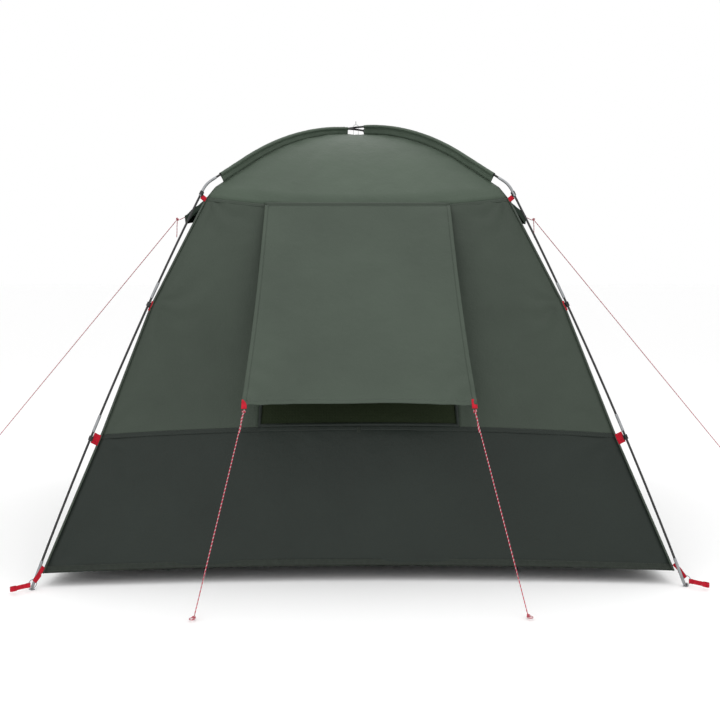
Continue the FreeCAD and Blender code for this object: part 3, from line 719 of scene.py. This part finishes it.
# the awning's top hem is sewn into the eave seam
path = [HINGE + Vector((x, 0.002, 0.004)) for x in linspace(-AWNING_TOP, AWNING_TOP, 40)]
strap("awning_top_hem", path, (0, 0.4, 1), 0.022, 0.004, WALL)
rows = []
for share in linspace(0, 1, 4):
    row = []
    for x in linspace(-AWNING_TOP, AWNING_TOP, 60):
        start = wall_point("front", x / EAVE[0], 0.008, 0.001, 0)
        end = HINGE + Vector((x, 0, 0.006))
        row.append((start.lerp(end, share), (x, share * 0.03)))
    rows.append(row)
grid_piece("awning_join", rows, WALL)


# ---------------------------------------------------------------- visors

TIP = Vector((0, -0.988, 1.752))
VISOR_HALF = 0.735                  # half of its length along the eave
VISOR_ROWS = 16


def visor(side):
    """Peaked hood: a sheet from the eave to a tip, with a lip turned down along its edge."""
    rows = []
    for share in linspace(0, 1, VISOR_ROWS):
        row = []
        for u in linspace(-1, 1, 61):
            x = u * VISOR_HALF
            start = wall_point("front", x / (EAVE[0] - CORNER_GAP), 0.02, 0.002, 0)
            corner = Vector((math.copysign(VISOR_HALF, u), -0.776, 1.806))
            outer = TIP.lerp(corner, abs(u))
            p = start.lerp(outer, share)
            wave = 0.006 * noise.noise(Vector((p.x * 6, p.y * 6, 2)))
            sag = 0.010 * share * (1 - share) * (1 - abs(u))
            p.z += wave * share - sag
            row.append((p, (x, share * 0.3)))
        rows.append(row)
    for share in linspace(0, 1, 5)[1:]:
        row = []
        for p, uv in rows[VISOR_ROWS - 1]:
            near = 1 - abs(p.x) / VISOR_HALF
            turned = Vector((0, 0.004 * share, -share * (0.012 + 0.036 * near)))
            row.append((p + turned, (uv[0], 0.3 + share * 0.05)))
        rows.append(row)
    rows = [[(spin(p, SIDES[side]), uv) for p, uv in row] for row in rows]
    # the hood's cloth carries painted shade in its colour
    hood = grid_piece("visor_cloth_" + side, rows, VISOR_PAINTED_SHADE)
    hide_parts("visor_" + side)
    path = [spin(TIP + Vector((0, 0.006 - 0.006 * k, -0.006 - 0.003 * k)), SIDES[side]) for k in range(7)]
    tab = strap("visor_tab_" + side, path, spin((1, 0, 0), SIDES[side]), 0.025, 0.0024, RED)
    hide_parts("visor_tabs")


visor("right")
visor("left")


# ---------------------------------------------------------------- webbing at the clips, feet and window

def solids_of(node):
    """The points of each separate solid of a CAD node."""
    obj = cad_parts[node]
    mesh = obj.data
    parent = list(range(len(mesh.vertices)))

    def find(a):
        while parent[a] != a:
            parent[a] = parent[parent[a]]
            a = parent[a]
        return a

    for edge in mesh.edges:
        a, b = find(edge.vertices[0]), find(edge.vertices[1])
        parent[a] = b
    groups = {}
    for vertex in mesh.vertices:
        key = find(vertex.index)
        groups.setdefault(key, []).append(obj.matrix_world @ vertex.co)
    return groups.values()


def centre_of(points):
    total = Vector((0, 0, 0))
    for p in points:
        total += p
    return total / len(points)


def row_near(height):
    """Row number, to one hundredth, where a corner seam is at a height."""
    v = 0.02
    while v < LAST and row_at(v)[1] > height:
        v += 0.01
    return v


# each clip's red webbing runs from the corner seam straight out to the clip; it has two plies side by side,
# which open a little where they are sewn in: (share of the way to the clip, half of the opening)
PLY_OPENING = [(1.0, 0.0008), (0.75, 0.0009), (0.5, 0.0012), (0.25, 0.0022), (0.05, 0.0045)]
for number, points in enumerate(solids_of("clip_webbings")):
    middle = centre_of(points)
    angle = math.atan2(middle.y, middle.x)
    out = Vector((math.cos(angle), math.sin(angle), 0))
    v = row_near(middle.z)
    half, seam_z, _, _ = row_at(v)
    next_half, next_z, _, _ = row_at(min(v + 0.1, LAST))
    seam = out * (half * ROOT2) + Vector((0, 0, seam_z))
    along = (out * ((next_half - half) * ROOT2) + Vector((0, 0, next_z - seam_z))).normalized()
    side = Vector((0, 0, 1)).cross(out)
    outward = (out - along * out.dot(along)).normalized()
    length = max((p - seam).dot(outward) for p in points) + 0.003
    for turn, mark in {-1: "b", 1: "a"}.items():
        path = [seam + outward * length * share + side * turn * apart for share, apart in PLY_OPENING]
        ply = strap(f"clip_webbing_{number}_{mark}", path, along, 0.025, 0.0016, RED)
        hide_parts("clip_webbings")


# ---------------------------------------------------------------- feet

FOOT = 1.5 * ROOT2                  # reach of a foot along the diagonal
RING_SIDE = 0.012                   # the ring and its straps stand beside the pole
RING_Z = 0.028
PEG_Z = 0.0255                      # height of the middle of the peg strap
TAB_TILT = math.radians(45)
TAB_UP = (math.cos(TAB_TILT), 0, math.sin(TAB_TILT))


def foot_strap(name, node, angle, points, up=(0, 0, 1)):
    """Webbing at a foot through points (outward, sideways, height), with its width along up."""
    path = [spin((FOOT + s, side, z), angle) for s, side, z in points]
    obj = strap(name, path, spin(up, angle), 0.021, 0.0016, RED)
    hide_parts(node)


def oval(start, end, half):
    """Centre line (outward, sideways) of a closed webbing loop between two reaches."""
    points = []
    for middle, first in ((end, -90), (start, 90)):
        for k in range(7):
            turn = math.radians(first + 30 * k)
            points.append((middle + half * math.cos(turn), RING_SIDE + half * math.sin(turn)))
    return points + points[:1]


for corner, angle in CORNERS.items():
    node = "peg_strap_" + corner
    ring_loop = [(s, side, PEG_Z) for s, side in oval(0.0150, 0.0290, 0.0035)]
    foot_strap("peg_strap_ring_loop_" + corner, node, angle, ring_loop)
    neck = [(0.028 + 0.0058 * k, RING_SIDE + 0.0006 * math.sin(k), PEG_Z) for k in range(10)]
    foot_strap("peg_strap_neck_" + corner, node, angle, neck)
    peg_loop = [(s, side, PEG_Z) for s, side in oval(0.0870, 0.1030, 0.0078)]
    foot_strap("peg_strap_loop_" + corner, node, angle, peg_loop)
    tab = []
    for s, side in oval(0.0, 0.034, 0.0035):
        tab.append((-0.0106 - s * math.cos(TAB_TILT), side, RING_Z + 0.0106 + s * math.sin(TAB_TILT)))
    foot_strap("corner_tab_" + corner, "corner_tabs", angle, tab, TAB_UP)
    # from the tab inward to the corner seam
    tab_end = [(-0.030, RING_SIDE, 0.062), (-0.042, RING_SIDE - 0.001, 0.074), (-0.052, 0.007, 0.084)]
    tab_end.append((-0.062, 0.0035, 0.094))
    foot_strap("corner_tab_end_" + corner, "corner_tabs", angle, tab_end, TAB_UP)

tab_path = [Vector((0, wall_point("front", 0, v_of(z), 0.003, 0).y, z)) for z in linspace(0.697, 0.668, 6)]
window_tab = strap("window_tab_tape", tab_path, (1, 0, 0), 0.018, 0.002, TRIM)
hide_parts("window_tab")


# ---------------------------------------------------------------- zip

ZIP_X = -0.467                      # where the zip runs up the door's free edge
ZIP_TOP_END = 0.440                 # where its run across the door's top ends
ZIP_SIDE_WIDTH = spin((1, 0, 0), 180)
ZIP_TOP_WIDTH = (0, 0.36, 1)


def zip_point(x, v):
    return wall_point("back", x / (row_at(v)[0] - CORNER_GAP), v, 0.0042, 0)


zip_low, zip_high = v_of(0.095), v_of(1.615)
up_side = [zip_point(ZIP_X, v) for v in linspace(zip_low, zip_high, 60)]
across_top = [zip_point(x, zip_high) for x in linspace(ZIP_X, ZIP_TOP_END, 50)]
side_tape = strap("zip_tape_side", up_side, ZIP_SIDE_WIDTH, 0.020, 0.0014, TRIM)
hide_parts("door_zip")
top_tape = strap("zip_tape_top", across_top, ZIP_TOP_WIDTH, 0.020, 0.0014, TRIM)
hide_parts("door_zip")


def teeth(name, line, across):
    """Two rows of coil teeth along the zip, meshing in the middle."""
    verts, faces = [], []
    across = Vector(across).normalized()
    for p, q in zip(line, line[1:]):
        span = (q - p).length
        way = (q - p) / span
        up = across.cross(way).normalized()
        if up.y < 0:
            up = -up
        for k in range(int(span / 0.004)):
            spot = p + way * (k * 0.004) + across * (0.0012 if k % 2 else -0.0012) + up * 0.0014
            base = len(verts)
            for a in (-0.0018, 0.0018):
                for b in (-0.0009, 0.0009):
                    for c in (-0.0006, 0.0008):
                        verts.append(spot + across * a + way * b + up * c)
            for face in ((0, 1, 3, 2), (4, 6, 7, 5), (0, 4, 5, 1), (2, 3, 7, 6), (0, 2, 6, 4), (1, 5, 7, 3)):
                faces.append(tuple(base + n for n in face))
    piece(name, verts, faces, PLASTIC)


teeth("zip_teeth_side", up_side, ZIP_SIDE_WIDTH)
teeth("zip_teeth_top", across_top, ZIP_TOP_WIDTH)


# ---------------------------------------------------------------- guy ropes

ROPE_DIA = 0.0045


def rope_curve(name, points, body):
    """One smooth line of rope through given control points."""
    curve = bpy.data.curves.new(name, "CURVE")
    curve.dimensions = "3D"
    spline = curve.splines.new("NURBS")
    spline.points.add(len(points) - 1)
    for control, p in zip(spline.points, points):
        control.co = (*p, 1)
    spline.order_u = 3
    spline.use_endpoint_u = True
    spline.resolution_u = 12
    obj = bpy.data.objects.new(name + "_line", curve)
    bpy.context.scene.collection.objects.link(obj)
    bpy.context.view_layer.update()
    line_mesh = bpy.data.meshes.new_from_object(obj)
    line = [v.co.copy() for v in line_mesh.vertices]
    bpy.data.objects.remove(obj)
    verts, faces, uvs = [], [], []
    run = 0.0
    around = 12
    across = Vector((0, 1, 0.3))
    fine = []
    for a, b in zip(line, line[1:]):
        count = max(1, int((b - a).length / 0.006))
        fine += [a.lerp(b, k / count) for k in range(count)]
    fine.append(line[-1])
    for i, p in enumerate(fine):
        way = (fine[min(i + 1, len(fine) - 1)] - fine[max(i - 1, 0)]).normalized()
        side = way.cross(across).normalized()
        up = side.cross(way)
        if i:
            run += (p - fine[i - 1]).length
        for k in range(around + 1):
            turn = 2 * math.pi * k / around
            lump = ROPE_DIA / 2 * (1 + 0.035 * math.sin(turn * 4 + run * 900))
            verts.append(p + side * math.cos(turn) * lump + up * math.sin(turn) * lump)
            uvs.append((k / around * 0.06, run * 3.2))
    ring = around + 1
    for i in range(len(fine) - 1):
        for k in range(around):
            a = i * ring + k
            faces.append((a, a + 1, a + ring + 1, a + ring))
    faces.append(tuple(reversed(range(around))))
    faces.append(tuple(range((len(fine) - 1) * ring, (len(fine) - 1) * ring + around)))
    rope = piece(name, verts, faces, ROPE, body, uvs)
    return rope


KNOT_STEPS = 72
LOOP_STEPS = 48
AROUND = 10


def closed_faces(steps):
    """Faces of a tube that closes on itself."""
    faces = []
    for i in range(steps):
        for k in range(AROUND):
            n = (k + 1) % AROUND
            m = (i + 1) % steps
            faces.append((i * AROUND + k, i * AROUND + n, m * AROUND + n, m * AROUND + k))
    return faces


def knot_piece(name, centre, way, body, size):
    """Overhand knot: a trefoil of rope pulled tight."""
    way = Vector(way).normalized()
    side = way.cross(Vector((0, 0.3, 1))).normalized()
    up = side.cross(way)
    verts, uvs = [], []
    line = []
    for i in range(KNOT_STEPS):
        t = 2 * math.pi * i / KNOT_STEPS
        x = math.sin(t) + 2 * math.sin(2 * t)
        y = math.cos(t) - 2 * math.cos(2 * t)
        z = -math.sin(3 * t)
        line.append(Vector(centre) + side * x * size * 0.42 + up * y * size * 0.42 + way * z * size * 0.75)
    for i, p in enumerate(line):
        ahead = (line[(i + 1) % KNOT_STEPS] - line[i - 1]).normalized()
        a = ahead.cross(way).normalized()
        b = a.cross(ahead)
        for k in range(AROUND):
            turn = 2 * math.pi * k / AROUND
            verts.append(p + a * math.cos(turn) * ROPE_DIA * 0.5 + b * math.sin(turn) * ROPE_DIA * 0.5)
            uvs.append((k / AROUND * 0.06, i * 0.006))
    return piece(name, verts, closed_faces(KNOT_STEPS), ROPE, body, uvs)


def rope_loop(name, ground, outward, body):
    """The oval loop at the rope's ground end, lying flat."""
    verts, uvs = [], []
    centre = Vector(ground) + outward * 0.017
    side = Vector((0, 0, 1)).cross(outward)
    for i in range(LOOP_STEPS):
        t = 2 * math.pi * i / LOOP_STEPS
        ray = -outward * math.cos(t) * 1.15 + side * math.sin(t) * 0.85
        for k in range(AROUND):
            turn = 2 * math.pi * k / AROUND
            rise = Vector((0, 0, ROPE_DIA / 2 * math.sin(turn)))
            verts.append(centre + ray * (0.013 + ROPE_DIA / 2 * math.cos(turn)) + rise)
            uvs.append((k / AROUND * 0.06, i * 0.006))
    return piece(name, verts, closed_faces(LOOP_STEPS), ROPE, body, uvs)


def guy(name, body, knot, ground, tail):
    """A taut rope from its knot to the ground, with a knot and a loop there and a loose tail at the top."""
    knot, ground, tail = Vector(knot), Vector(ground), Vector(tail)
    run = ground - knot
    outward = Vector((run.x, run.y, 0)).normalized()
    top = knot_piece(name + "_knot", knot, run, body, 0.0062)
    low = knot_piece(name + "_end_knot", ground, run, body, 0.0055)
    loop = rope_loop(name + "_peg_loop", ground, outward, body)
    straight = [knot, knot + run * 0.5, ground]
    main = rope_curve(name + "_rope", straight, body)
    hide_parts(name)
    side = Vector((tail.x, 0, 0))
    bent = [knot, knot + tail * 0.35 + side * 0.3, knot + tail * 0.7 - side * 0.1, knot + tail]
    end = rope_curve(name + "_tail", bent, body)
    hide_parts(name)


TAB_LONG = 0.034
TAB_OVERLAP = 0.012                 # length of the tab that is sewn over the awning
GROUND_KNOT = 0.010                 # height of the knot at a rope's ground end
KNOT_OUT = 0.009                    # from the tab's end to the middle of the knot
KNOT_DROP = AWNING_LEN + TAB_LONG - TAB_OVERLAP + KNOT_OUT
AWNING_DOWN = Vector((0, -math.sin(AWNING_LEAN), -math.cos(AWNING_LEAN)))
for side, sign in {"left": -1, "right": 1}.items():
    name = "awning_guy_" + side
    knot = HINGE + AWNING_DOWN * KNOT_DROP + Vector((sign * TAB_X, 0, 0))
    guy(name, name, knot, (sign * 0.700, -1.945, GROUND_KNOT), (sign * 0.022, 0, -0.100))
    knot = (sign * 1.030, 0, 1.732)
    guy("side_guy_" + side, "root", knot, (sign * 2.480, 0, GROUND_KNOT), (sign * 0.006, 0, -0.105))


# ---------------------------------------------------------------- hard parts: CAD shape, own material

HARD = {"leg_pole": FIBRE, "roof_pole": FIBRE, "elbow": STEEL, "leg_ferrules": STEEL, "roof_ferrules": STEEL,
        "foot_ends": STEEL, "corner_pins": STEEL, "corner_rings": STEEL, "pole_clips": PLASTIC,
        "zip_slider": STEEL, "shock_cords": ELASTIC}
for node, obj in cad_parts.items():
    for start, material in HARD.items():
        if node.startswith(start):
            for place in obj.material_slots:
                place.material = material


# ---------------------------------------------------------------- floor, light and camera

FLOOR_HALF = 60
FLOOR_Z = -0.001
# name, place, turn in degrees, width in metres, power in watts
LAMPS = [("top_light", (0, -0.6, 5.5), (0, 0, 0), 6.0, 70),
         ("front_light", (-2.5, -7.0, 4.2), (62, 0, -20), 4.5, 40),
         ("right_light", (5.5, -3.0, 3.5), (65, 0, 60), 3.0, 20)]


def studio():
    """Pale floor, white surroundings and three large lamps."""
    mesh = bpy.data.meshes.new("floor")
    corners = [(a * FLOOR_HALF, b * FLOOR_HALF, FLOOR_Z) for a, b in ((-1, -1), (1, -1), (1, 1), (-1, 1))]
    mesh.from_pydata(corners, [], [(0, 1, 2, 3)])
    floor = bpy.data.objects.new("floor", mesh)
    bpy.context.scene.collection.objects.link(floor)
    floor.data.materials.append(new_material("pale_floor", (0.99, 0.99, 0.99), 0.9)[0])
    world = bpy.data.worlds.new("studio")
    bpy.context.scene.world = world
    world.use_nodes = True
    back = world.node_tree.nodes["Background"]
    back.inputs["Color"].default_value = (1, 1, 1, 1)
    back.inputs["Strength"].default_value = 1.0
    for name, spot, turn, width, power in LAMPS:
        light = bpy.data.lights.new(name, "AREA")
        light.size = width
        light.energy = power
        lamp = bpy.data.objects.new(name, light)
        lamp.location = spot
        lamp.rotation_euler = Euler([math.radians(t) for t in turn])
        bpy.context.scene.collection.objects.link(lamp)


studio()
bpy.context.scene.view_settings.view_transform = "Standard"
eye = bpy.data.cameras.new("camera")
eye.sensor_width = 36
eye.lens = 55.75
camera = bpy.data.objects.new("camera", eye)
camera.location = (-0.076, -6.5, 1.5)
camera.rotation_euler = Euler((math.radians(84.85), 0, math.radians(-0.88)))
bpy.context.scene.collection.objects.link(camera)
bpy.context.scene.camera = camera
